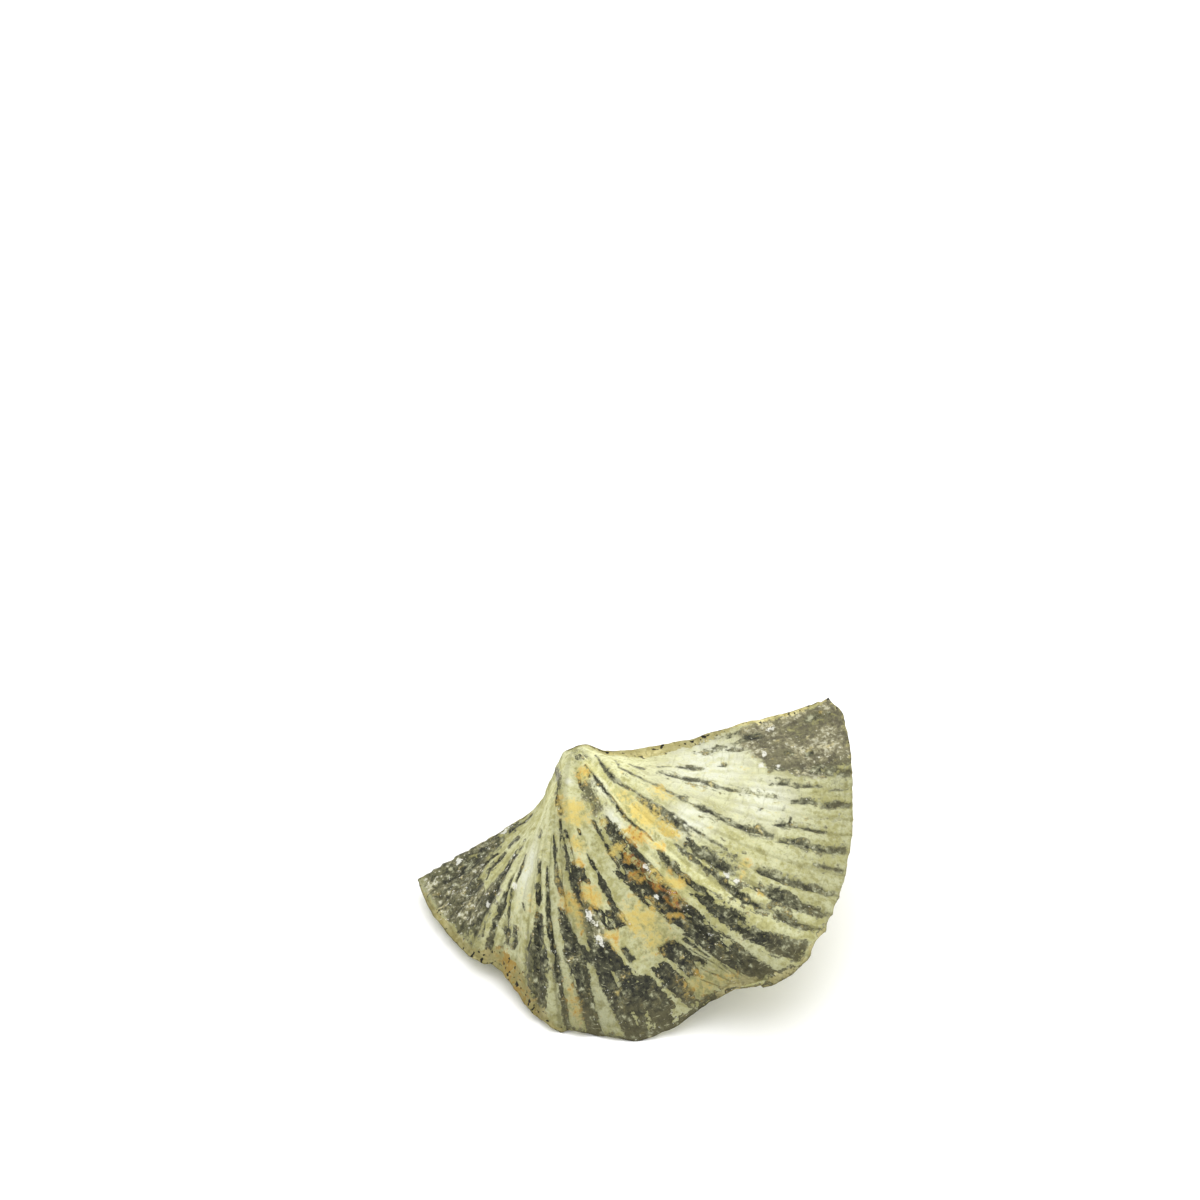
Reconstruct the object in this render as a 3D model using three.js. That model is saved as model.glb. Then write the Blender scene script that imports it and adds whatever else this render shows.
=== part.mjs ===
// Spiriferid brachiopod fossil: one solid stone, both valves closed, lying on its lower side.
// Millimetres. Shell frame: X along the hinge line, -Y to the front margin, +Z out of the upper valve.
import * as THREE from 'three';
import { mergeVertices } from 'three/addons/utils/BufferGeometryUtils.js';

// Pose: the right ear is propped high, the front tongue touches the ground.
const ROLL_DEG = 19;
const PITCH_DEG = 9.9;
const HINGE_HEIGHT = 8.1;

// Beaks (umbo tips) of the two valves.
const UPPER_BEAK = [-2.6, 0.8, 8.4];
const LOWER_BEAK = [-1.8, 0.3, -2.8];

// Shell margin, from the left ear tip round the front to the right ear tip.
const MARGIN = [
  [-20.8, 0.3, 0.4],
  [-20.6, -3.2, 0.5],
  [-19.5, -8.0, 0.8],
  [-18.4, -10.8, 1.0],
  [-16.8, -12.4, 1.1],
  [-15.9, -15.2, 1.0],
  [-15.2, -18.2, 0.6],
  [-13.9, -20.4, 0.0],
  [-11.2, -21.9, -0.7],
  [-7.6, -23.8, -1.8],
  [-4.4, -23.8, -1.9],
  [-1.4, -23.5, -1.0],
  [1.4, -23.9, 0.3],
  [4.2, -25.0, 0.8],
  [7.3, -25.4, 0.9],
  [9.4, -23.8, 0.8],
  [12.3, -21.4, 0.7],
  [15.3, -17.3, 0.6],
  [17.9, -12.0, 0.4],
  [19.7, -6.8, 0.3],
  [20.6, -2.4, 0.2],
  [20.7, 0.2, 0.1],
];

// Height profiles over the growth coordinate, 0 at the beak and 1 at the margin.
const AGE = [0, 0.05, 0.1, 0.2, 0.3, 0.45, 0.65, 0.85, 1];
const LEFT_RIDGE = [8.4, 8.2, 7.3, 4.2, 2.2, 1.3, 0.7, 0.3, 0];
const RIGHT_RIDGE = [8.4, 7.9, 6.1, 4.3, 3.3, 2.1, 1.3, 0.4, 0];
const UPPER_CREST = [8.4, 8.9, 9.3, 9.7, 9.6, 8.8, 6.7, 3.3, 0];
const RIDGE_SETBACK = [0, 0.1, 0.1, 0.2, 0.3, 0.3, 0.2, 0.1, 0];
const LOWER_AGE = [0, 0.1, 0.2, 0.3, 0.4, 0.5, 0.6, 0.7, 0.8, 0.9, 0.98, 1];
const LOWER_DEPTH = [2.8, 5.8, 8.2, 9.4, 9.6, 8.8, 7.0, 5.0, 3.3, 1.8, 0.7, 0];
const LOWER_RIDGE = [2.8, 2.7, 2.5, 2.3, 2.1, 1.9, 1.7, 1.5, 1.2, 0.8, 0.4, 0];
const LEFT_FLANK = 0.3;
const RIGHT_FLANK = 0.4;
const LOWER_FLANK = 0.27;

// Median sulcus: a smooth trough widening into the tongue.
const SULCUS_DEPTH = 1.7;
const SULCUS_CENTRE = 0.5;
const SULCUS_DRIFT = 0.04;
const SULCUS_HALF_WIDTH = 0.1;
const SULCUS_POWER = 2.6;
const SULCUS_FADE = 0.6;

// Sideways sweep of the ribs as the shell grew, by rib coordinate.
const SWEEP_AT = [0, 0.25, 0.32, 0.45, 0.57, 0.66, 0.775, 0.84, 0.93, 1];
const SWEEP = [0, 0, 0.035, 0.14, 0.235, 0.2, 0.15, 0.1, 0.04, 0];
const SWEEP_SLACK = 0.45;

// Grooves between the ribs, by rib coordinate, and the height of the ribs at each.
const GROOVES = [
  0, 0.03, 0.056, 0.082, 0.108, 0.136, 0.168, 0.185, 0.22, 0.245, 0.27, 0.303, 0.345, 0.395, 0.44, 0.475,
  0.52, 0.575, 0.63, 0.665, 0.688, 0.711, 0.74, 0.77, 0.795, 0.817, 0.838, 0.853, 0.867, 0.884, 0.902,
  0.92, 0.94, 0.96, 0.98, 1,
];
const RIB_AT = [0, 0.1, 0.17, 0.215, 0.27, 0.34, 0.4, 0.47, 0.54, 0.58, 0.64, 0.8, 1];
const RIB_HEIGHT = [0.14, 0.36, 0.42, 0.2, 0.5, 0.5, 0.2, 0.1, 0.2, 0.56, 0.5, 0.24, 0.1];
const RIB_ROUNDNESS = 0.8;
const RIBS_START = 0.15;
const RIBS_FULL = 0.8;
const INTERAREA_HOLLOW = 0.5;

// Mesh density: columns run beak to beak, rows ring the shell.
const COLUMNS = 168;
const FRONT_COLUMNS = 144;
const ROWS = 29;
const UPPER_ROWS = 17;
const UPPER_ROW_POWER = 1.35;
const LOWER_ROW_POWER = 1.15;
const WELD = 1e-4;

const STONE_COLOUR = '#a8a47c';

// Smooth curve through stations; values may be numbers or points.
function through(stations, values, t) {
  const last = stations.length - 1;
  let i = 0;
  while (i < last - 1 && t >= stations[i + 1]) i += 1;
  const span = stations[i + 1] - stations[i];
  const s = THREE.MathUtils.clamp((t - stations[i]) / span, 0, 1);
  const slope = (k, axis) => {
    const a = Math.max(k - 1, 0);
    const b = Math.min(k + 1, last);
    const rise = axis < 0 ? values[b] - values[a] : values[b][axis] - values[a][axis];
    return (rise / (stations[b] - stations[a])) * span;
  };
  const blend = (axis) => {
    const p = axis < 0 ? values[i] : values[i][axis];
    const q = axis < 0 ? values[i + 1] : values[i + 1][axis];
    const fromStart = (2 * s - 3) * s * s + 1;
    const fromEnd = (3 - 2 * s) * s * s;
    const tangentStart = ((s - 2) * s + 1) * s;
    const tangentEnd = (s - 1) * s * s;
    return fromStart * p + fromEnd * q + tangentStart * slope(i, axis) + tangentEnd * slope(i + 1, axis);
  };
  if (typeof values[0] === 'number') return blend(-1);
  return [blend(0), blend(1), blend(2)];
}

// Rib coordinate of each margin station, by distance walked along the margin.
function marginStations() {
  const walked = [0];
  for (let i = 1; i < MARGIN.length; i += 1) {
    const here = new THREE.Vector3(...MARGIN[i]);
    walked.push(walked[i - 1] + here.distanceTo(new THREE.Vector3(...MARGIN[i - 1])));
  }
  return walked.map((length) => length / walked[walked.length - 1]);
}

const MARGIN_AT = marginStations();
const GROOVE_COUNT = GROOVES.map((_, index) => index);
const smoothstep = THREE.MathUtils.smoothstep;

function flank(place, leftWidth, rightWidth) {
  return smoothstep(place, 0, leftWidth) * smoothstep(1 - place, 0, rightWidth);
}

// Rib relief: rounded ribs, V grooves, fading towards the beak.
function ribRelief(rib, age) {
  const phase = through(GROOVES, GROOVE_COUNT, rib);
  const crest = Math.abs(Math.sin(Math.PI * phase)) ** RIB_ROUNDNESS;
  return through(RIB_AT, RIB_HEIGHT, rib) * (crest - 0.5) * smoothstep(age, RIBS_START, RIBS_FULL);
}

// Ribs sweep sideways with growth, so the place on the shell lags the rib coordinate.
function placeOf(rib, age) {
  const young = 1 - age;
  return rib - through(SWEEP_AT, SWEEP, rib) * young * (1 - SWEEP_SLACK * young ** 3);
}

function upperValve(rib, age) {
  const place = placeOf(rib, age);
  const edge = through(MARGIN_AT, MARGIN, place);
  const rise = flank(place, LEFT_FLANK, RIGHT_FLANK);
  const ridge = through(AGE, place < 0.5 ? LEFT_RIDGE : RIGHT_RIDGE, age);
  const crest = through(AGE, UPPER_CREST, age);
  const across = Math.abs((place - SULCUS_CENTRE - SULCUS_DRIFT * age) / SULCUS_HALF_WIDTH);
  const sulcus = SULCUS_DEPTH * Math.exp(-(across ** SULCUS_POWER)) * age * (1 - SULCUS_FADE * age ** 6);
  const setback = through(AGE, RIDGE_SETBACK, age) * (1 - rise);
  return [
    UPPER_BEAK[0] + (edge[0] - UPPER_BEAK[0]) * age,
    UPPER_BEAK[1] + (edge[1] - UPPER_BEAK[1]) * age + setback,
    ridge + (crest - ridge) * rise + edge[2] * age - sulcus + ribRelief(rib, age),
  ];
}

function lowerValve(rib, age) {
  const edge = through(MARGIN_AT, MARGIN, rib);
  const fall = flank(rib, LOWER_FLANK, LOWER_FLANK);
  const ridge = through(LOWER_AGE, LOWER_RIDGE, age);
  const depth = ridge + (through(LOWER_AGE, LOWER_DEPTH, age) - ridge) * fall;
  return [
    LOWER_BEAK[0] + (edge[0] - LOWER_BEAK[0]) * age,
    LOWER_BEAK[1] + (edge[1] - LOWER_BEAK[1]) * age,
    edge[2] * age - depth + ribRelief(rib, age),
  ];
}

// The back of each valve is its interarea: straight growth lines between the two ear ridges.
function interarea(valve, across, age) {
  const left = valve(0, age);
  const right = valve(1, age);
  const point = left.map((value, axis) => value + (right[axis] - value) * across);
  point[1] -= INTERAREA_HOLLOW * 4 * across * (1 - across) * 4 * age * (1 - age);
  return point;
}

function surfacePoint(column, row) {
  const front = FRONT_COLUMNS / COLUMNS;
  const equator = UPPER_ROWS / ROWS;
  const upper = row <= equator;
  const valve = upper ? upperValve : lowerValve;
  const share = upper ? row / equator : (1 - row) / (1 - equator);
  const age = share ** (upper ? UPPER_ROW_POWER : LOWER_ROW_POWER);
  if (column <= front) return valve(column / front, age);
  return interarea(valve, (1 - column) / (1 - front), age);
}

function fossilGeometry() {
  const geometry = new THREE.SphereGeometry(1, COLUMNS, ROWS);
  const position = geometry.attributes.position;
  const uv = geometry.attributes.uv;
  const pose = new THREE.Matrix4()
    .makeRotationY(THREE.MathUtils.degToRad(-ROLL_DEG))
    .multiply(new THREE.Matrix4().makeRotationX(THREE.MathUtils.degToRad(PITCH_DEG)));
  const point = new THREE.Vector3();
  for (let i = 0; i < position.count; i += 1) {
    const row = 1 - uv.getY(i);
    const column = THREE.MathUtils.clamp(uv.getX(i), 0, 1);
    point.set(...surfacePoint(column, row)).applyMatrix4(pose);
    // the underside is worn flat where it rests
    position.setXYZ(i, point.x, point.y, Math.max(point.z + HINGE_HEIGHT, 0));
  }
  geometry.deleteAttribute('uv');
  geometry.deleteAttribute('normal');
  const shell = mergeVertices(geometry, WELD);
  shell.computeBoundingBox();
  const centre = shell.boundingBox.getCenter(new THREE.Vector3());
  shell.translate(-centre.x, -centre.y, -shell.boundingBox.min.z);
  shell.computeVertexNormals();
  return shell;
}

const stone = new THREE.MeshStandardMaterial({ color: STONE_COLOUR, roughness: 0.85, metalness: 0 });
const fossil = new THREE.Mesh(fossilGeometry(), stone);
fossil.name = 'brachiopod_fossil';

const group = new THREE.Group();
group.name = 'brachiopod';
group.add(fossil);

export default group;
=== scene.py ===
"""Spiriferid brachiopod fossil: one stone, both valves closed, lying on its lower side.

Shell frame in millimetres: X along the hinge line, -Y to the front margin, +Z out of the upper valve.
"rib" runs 0 to 1 from the left ear round the front margin to the right ear.
"age" runs 0 at a beak to 1 at the margin.
The whole shell is one sphere, moved so that its two poles are the beaks and its equator is the margin.
"""

from math import cos, pi, radians, sin
from types import SimpleNamespace

import bmesh
import bpy
import numpy as np
from mathutils import Matrix, Vector, noise


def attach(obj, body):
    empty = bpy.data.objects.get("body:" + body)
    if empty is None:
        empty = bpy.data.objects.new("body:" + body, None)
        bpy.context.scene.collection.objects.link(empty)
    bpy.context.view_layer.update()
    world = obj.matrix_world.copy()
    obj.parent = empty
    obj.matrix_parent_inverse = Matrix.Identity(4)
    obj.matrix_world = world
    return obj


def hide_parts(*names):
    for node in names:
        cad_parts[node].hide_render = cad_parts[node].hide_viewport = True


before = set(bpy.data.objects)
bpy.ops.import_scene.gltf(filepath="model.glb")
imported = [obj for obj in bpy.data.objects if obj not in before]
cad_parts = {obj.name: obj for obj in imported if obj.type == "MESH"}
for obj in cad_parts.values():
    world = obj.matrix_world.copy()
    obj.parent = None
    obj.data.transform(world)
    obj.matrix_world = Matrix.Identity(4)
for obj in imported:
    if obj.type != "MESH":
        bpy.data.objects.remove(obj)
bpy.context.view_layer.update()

MM = 0.001

# ---------------------------------------------------------------- shape of the shell
# How the stone lies: turned about the middle of its hinge, which stands at HINGE_PLACE.
ROLL = radians(19)
PITCH = radians(9.9)
HINGE_PLACE = (0.101, 12.203, 8.1)

# X and Y of each beak. Its height is the one that its hinge ridges start from.
UPPER_BEAK = (-2.6, 0.8)
LOWER_BEAK = (-1.8, 0.3)

# The margin that both valves share, from the left ear to the right one.
MARGIN = (
    (-20.8, 0.3, 0.4),
    (-20.6, -3.2, 0.5),
    (-19.5, -8.0, 0.8),
    (-18.4, -10.8, 1.0),
    (-16.8, -12.4, 1.1),
    (-15.9, -15.2, 1.0),
    (-15.2, -18.2, 0.6),
    (-13.9, -20.4, 0.0),
    (-11.2, -21.9, -0.7),
    (-7.6, -23.8, -1.8),
    (-4.4, -23.8, -1.9),
    (-1.4, -23.5, -1.0),
    (1.4, -23.9, 0.3),
    (4.2, -25.0, 0.8),
    (7.3, -25.4, 0.9),
    (9.4, -23.8, 0.8),
    (12.3, -21.4, 0.7),
    (15.3, -17.3, 0.6),
    (17.9, -12.0, 0.4),
    (19.7, -6.8, 0.3),
    (20.6, -2.4, 0.2),
    (20.7, 0.2, 0.1),
)

# Upper valve by age: how high its two hinge ridges and its crest stand, and how far back the ridges are.
AGE = (0, 0.05, 0.1, 0.2, 0.3, 0.45, 0.65, 0.85, 1)
LEFT_RIDGE = (8.4, 8.2, 7.3, 4.2, 2.2, 1.3, 0.7, 0.3, 0)
RIGHT_RIDGE = (8.4, 7.9, 6.1, 4.3, 3.3, 2.1, 1.3, 0.4, 0)
UPPER_CREST = (8.4, 8.9, 9.3, 9.7, 9.6, 8.8, 6.7, 3.3, 0)
RIDGE_SETBACK = (0, 0.1, 0.1, 0.2, 0.3, 0.3, 0.2, 0.1, 0)

# Lower valve by age: how deep its middle and its hinge ridges are.
LOWER_AGE = (0, 0.1, 0.2, 0.3, 0.4, 0.5, 0.6, 0.7, 0.8, 0.9, 0.98, 1)
LOWER_DEPTH = (2.8, 5.8, 8.2, 9.4, 9.6, 8.8, 7.0, 5.0, 3.3, 1.8, 0.7, 0)
LOWER_RIDGE = (2.8, 2.7, 2.5, 2.3, 2.1, 1.9, 1.7, 1.5, 1.2, 0.8, 0.4, 0)

# The part of the margin over which each side rises from its hinge ridge, or falls in the lower valve.
LEFT_FLANK = 0.3
RIGHT_FLANK = 0.4
LOWER_FLANK = 0.27

# The trough down the middle of the upper valve: depth in mm, centre and half width in parts of the margin.
SULCUS_DEPTH = 1.7
SULCUS_CENTRE = 0.5
SULCUS_DRIFT = 0.04
SULCUS_HALF_WIDTH = 0.1
SULCUS_POWER = 2.6
SULCUS_FADE = 0.6

# How far each rib moves on round the margin as it grows, in parts of the margin.
SWEEP_AT = (0, 0.25, 0.32, 0.45, 0.57, 0.66, 0.775, 0.84, 0.93, 1)
SWEEP = (0, 0, 0.035, 0.14, 0.235, 0.2, 0.15, 0.1, 0.04, 0)
SWEEP_SLACK = 0.45

# The rib at which each groove is cut, and how high the ribs between them stand, in mm.
GROOVES = (
    0, 0.03, 0.056, 0.082, 0.108, 0.136, 0.168, 0.185, 0.22, 0.245, 0.27, 0.303, 0.345, 0.395,
    0.44, 0.475, 0.52, 0.575, 0.63, 0.665, 0.688, 0.711, 0.74, 0.77, 0.795, 0.817, 0.838, 0.853,
    0.867, 0.884, 0.902, 0.92, 0.94, 0.96, 0.98, 1,
)
RIB_AT = (0, 0.1, 0.17, 0.215, 0.27, 0.34, 0.4, 0.47, 0.54, 0.58, 0.64, 0.8, 1)
RIB_HEIGHT = (0.14, 0.36, 0.42, 0.2, 0.5, 0.5, 0.2, 0.1, 0.2, 0.56, 0.5, 0.24, 0.1)
RIBS_START = 0.15
RIBS_FULL = 0.8
RIB_ROUNDNESS = 0.8
INTERAREA_HOLLOW = 0.5
EAR_WEAR = 0.028
EAR_WEAR_WIDTH = 0.03
EAR_WEAR_START = 0.8

# ---------------------------------------------------------------- mesh density
# The sphere's columns that aren't on the front are on the interarea, and its rows run over both valves.
COLUMNS = 480
FRONT_SHARE = 0.875
ROWS = 205
UPPER_SHARE = 0.68
UPPER_ROW_POWER = 1.25
LOWER_ROW_POWER = 1.15
ROUNDING = 1e-6

# ---------------------------------------------------------------- surface wear
# Each unevenness: height in mm and waves per mm. Each growth step: age and height in mm.
WEAR = ((0.14, 0.16), (0.13, 0.5), (0.09, 1.2), (0.04, 2.4))
WEAR_PLACE = (7.1, 3.3)
GROWTH_STEPS = (
    (0.42, 0.05), (0.57, 0.07), (0.69, 0.06), (0.78, 0.09), (0.86, 0.08), (0.92, 0.1), (0.97, 0.09),
)
GROWTH_WIDTH = 0.012
GROWTH_TAIL = 0.07
GROWTH_WANDER = 0.008
WANDER_ROUND_RIBS = 37
WANDER_BY_STEP = 11
MARGIN_EASE = 0.01
DARK_SINK = 0.07
DARK_SINK_EDGE = 0.25


def through(stations, values, t):
    """Smooth curve through stations, for arrays of t."""
    at = np.asarray(stations, float)
    val = np.asarray(values, float)
    if val.ndim == 1:
        return through(at, val[:, None], t)[..., 0]
    slope = np.zeros_like(val)
    last = len(at) - 1
    for i in range(last + 1):
        a = max(i - 1, 0)
        b = min(i + 1, last)
        slope[i] = (val[b] - val[a]) / (at[b] - at[a])
    i = np.clip(np.searchsorted(at, t, side="right") - 1, 0, last - 1)
    span = (at[i + 1] - at[i])[..., None]
    s = np.clip((np.asarray(t) - at[i])[..., None] / span, 0, 1)
    start = (2 * s - 3) * s * s + 1
    end = (3 - 2 * s) * s * s
    out = ((s - 2) * s + 1) * s * span
    back = (s - 1) * s * s * span
    return start * val[i] + end * val[i + 1] + out * slope[i] + back * slope[i + 1]


def smoothstep(x, low, high):
    """0 below low, 1 above high, and an easy curve between."""
    t = np.clip((x - low) / (high - low), 0, 1)
    return t * t * (3 - 2 * t)


def arch(t):
    """0 at 0 and at 1, and 1 halfway."""
    return 4 * t * (1 - t)


def margin_stations():
    """How far round the margin each of its points is, 0 to 1, and the margin's length in mm."""
    points = np.asarray(MARGIN)
    steps = np.linalg.norm(np.diff(points, axis=0), axis=1)
    walked = np.concatenate(([0.0], np.cumsum(steps)))
    return walked / walked[-1], walked[-1]


MARGIN_AT, MARGIN_LENGTH = margin_stations()


def flank(place, left, right):
    """How much of the crest's height is reached: 0 at the hinge, 1 past each flank."""
    return smoothstep(place, 0, left) * smoothstep(1 - place, 0, right)


def rib_relief(rib, age):
    """Height of the ribs over their own mean, in mm."""
    phase = through(GROOVES, range(len(GROOVES)), rib)
    crest = np.abs(np.sin(pi * phase)) ** RIB_ROUNDNESS
    return through(RIB_AT, RIB_HEIGHT, rib) * (crest - 0.5) * smoothstep(age, RIBS_START, RIBS_FULL)


def place_of(rib, age):
    """Where on the margin a rib points at this age, since the ribs sweep outwards as they grow."""
    young = 1 - age
    return rib - through(SWEEP_AT, SWEEP, rib) * young * (1 - SWEEP_SLACK * young**3)


def worn_ear(rib, age):
    """Age with the sharp tip of the right ear worn round."""
    tip = smoothstep(rib, 1 - EAR_WEAR_WIDTH, 1)
    return age * (1 - EAR_WEAR * tip * smoothstep(age, EAR_WEAR_START, 1))


def upper_valve(rib, age):
    age = worn_ear(rib, age)
    place = place_of(rib, age)
    edge = through(MARGIN_AT, MARGIN, place)
    rise = flank(place, LEFT_FLANK, RIGHT_FLANK)
    ridge = np.where(place < 0.5, through(AGE, LEFT_RIDGE, age), through(AGE, RIGHT_RIDGE, age))
    crest = through(AGE, UPPER_CREST, age)
    across = np.abs((place - SULCUS_CENTRE - SULCUS_DRIFT * age) / SULCUS_HALF_WIDTH)
    sulcus = SULCUS_DEPTH * np.exp(-(across**SULCUS_POWER)) * age * (1 - SULCUS_FADE * age**6)
    setback = through(AGE, RIDGE_SETBACK, age) * (1 - rise)
    x = UPPER_BEAK[0] + (edge[:, 0] - UPPER_BEAK[0]) * age
    y = UPPER_BEAK[1] + (edge[:, 1] - UPPER_BEAK[1]) * age + setback
    z = ridge + (crest - ridge) * rise + edge[:, 2] * age - sulcus + rib_relief(rib, age)
    return np.stack((x, y, z), -1)


def lower_valve(rib, age):
    age = worn_ear(rib, age)
    edge = through(MARGIN_AT, MARGIN, rib)
    fall = flank(rib, LOWER_FLANK, LOWER_FLANK)
    ridge = through(LOWER_AGE, LOWER_RIDGE, age)
    depth = ridge + (through(LOWER_AGE, LOWER_DEPTH, age) - ridge) * fall
    x = LOWER_BEAK[0] + (edge[:, 0] - LOWER_BEAK[0]) * age
    y = LOWER_BEAK[1] + (edge[:, 1] - LOWER_BEAK[1]) * age
    z = edge[:, 2] * age - depth + rib_relief(rib, age)
    return np.stack((x, y, z), -1)


def interarea(valve, across, age):
    """The flat back of a valve, from its left hinge ridge to its right one, a little hollow."""
    left = valve(np.zeros_like(age), age)
    right = valve(np.ones_like(age), age)
    point = left + (right - left) * across[:, None]
    point[:, 1] -= INTERAREA_HOLLOW * arch(across) * arch(age)
    return point


def shell_points(rib, age, front, upper):
    """Places in the shell frame, in mm: each valve round the front, and its interarea at the back."""
    point = np.zeros((len(rib), 3))
    for valve, on in ((upper_valve, upper), (lower_valve, ~upper)):
        rows = on & front
        point[rows] = valve(rib[rows], age[rows])
        rows = on & ~front
        point[rows] = interarea(valve, rib[rows], age[rows])
    return point


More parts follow.
